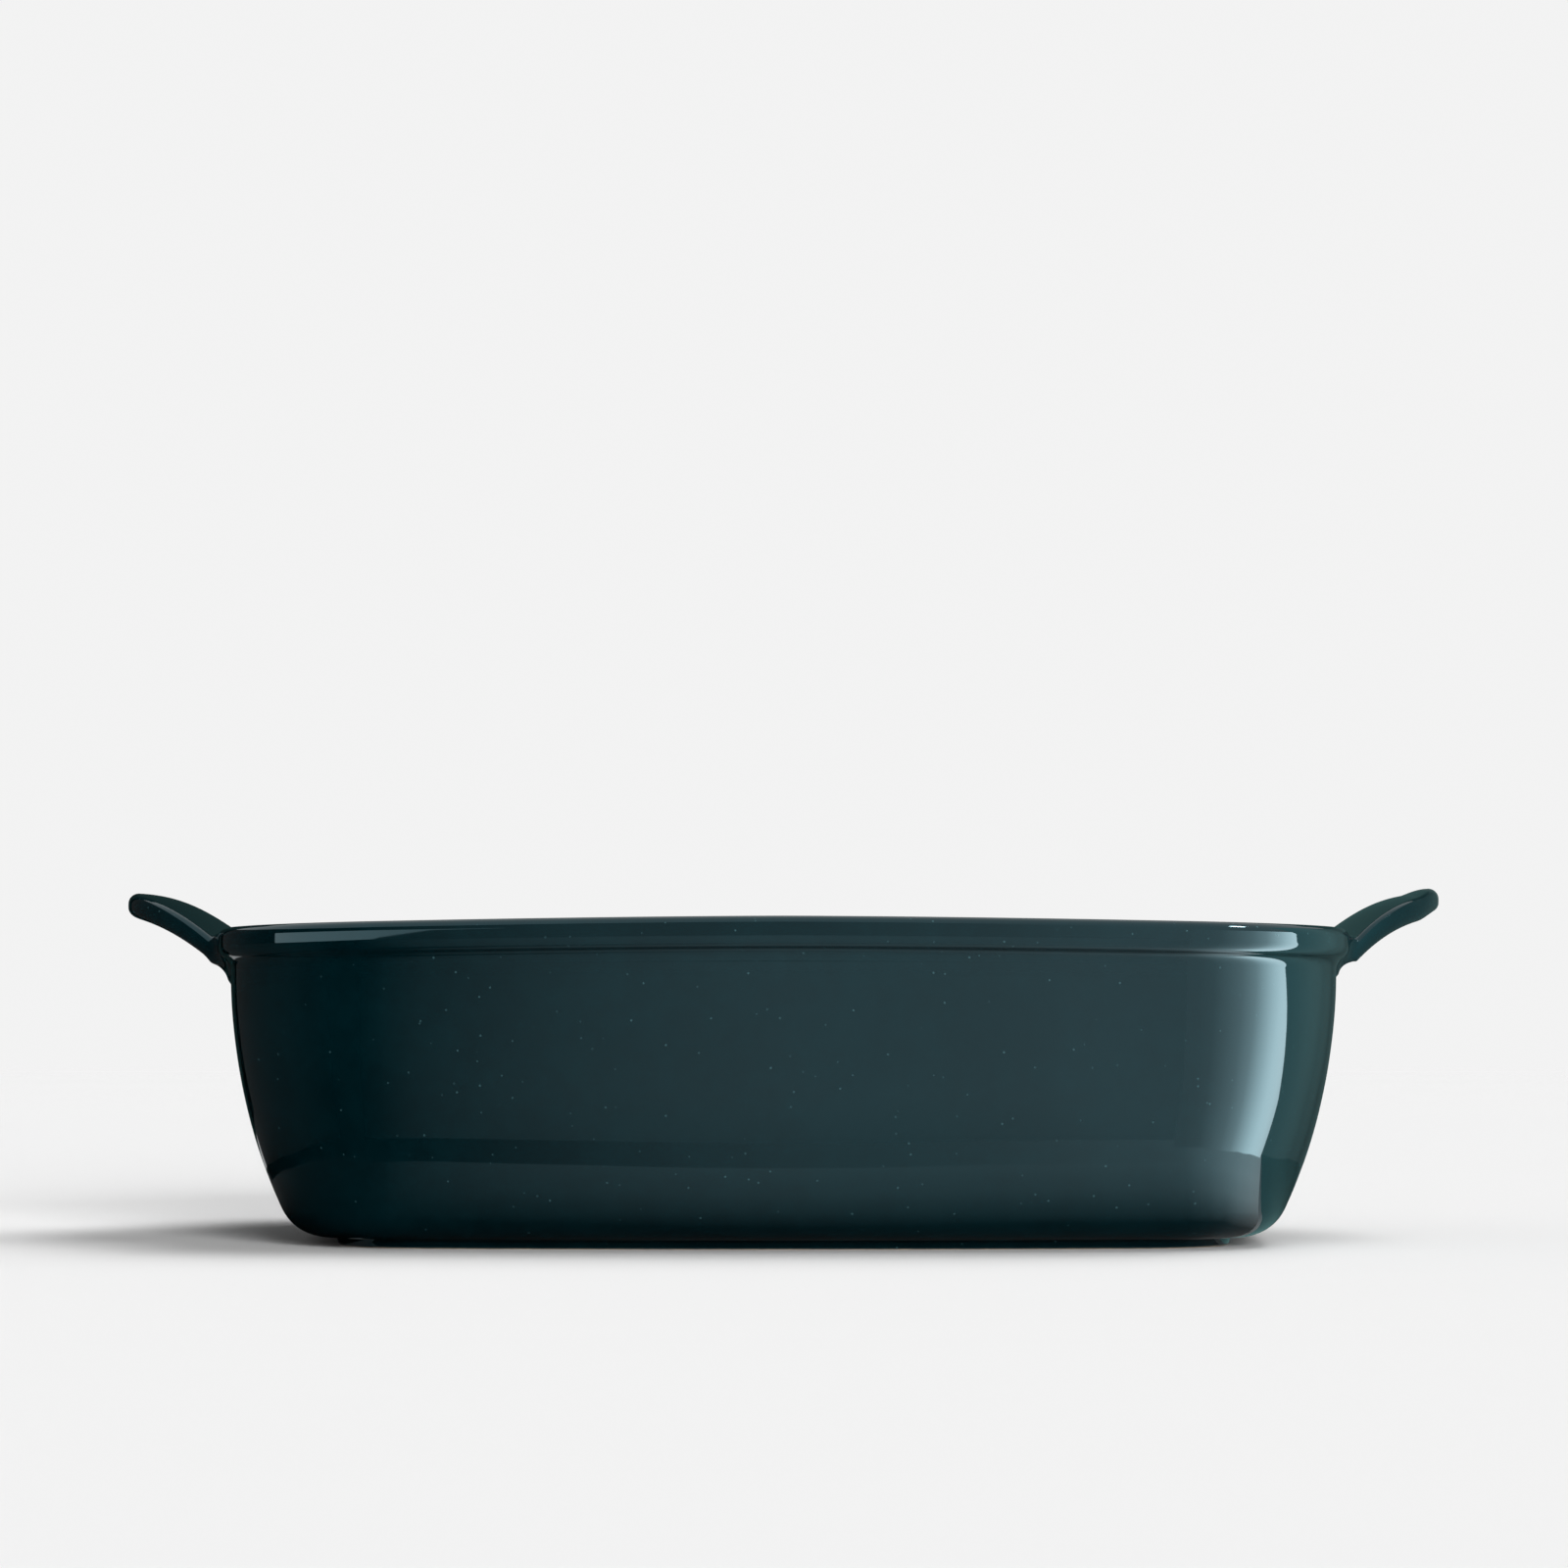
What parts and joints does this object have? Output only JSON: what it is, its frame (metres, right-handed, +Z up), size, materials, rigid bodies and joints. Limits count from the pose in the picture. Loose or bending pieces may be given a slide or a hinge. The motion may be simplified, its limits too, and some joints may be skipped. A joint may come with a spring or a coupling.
{
  "type": "lasagna dish",
  "caption": "Deep rectangular lasagna dish in dark petrol-teal glazed stoneware, with bowed sides, a flared rim band, a solid ear handle on each short end and a bare standing ring",
  "frame": {"origin": "centre of the surface that the dish stands on, under the middle of the dish", "axes": "+X runs from the left handle to the right one along the length, +Y runs across the width, +Z points up out of the dish"},
  "size_m": [0.42, 0.28, 0.1097],
  "materials": {
    "glaze": "gloss petrol-teal glaze with fine light specks",
    "bare_clay": "matt unglazed stoneware"
  },
  "bodies": {
    "root": {"dish_body": "glaze", "handle_left": "glaze", "handle_right": "glaze", "foot_ring": "bare_clay"}
  },
  "joints": []
}
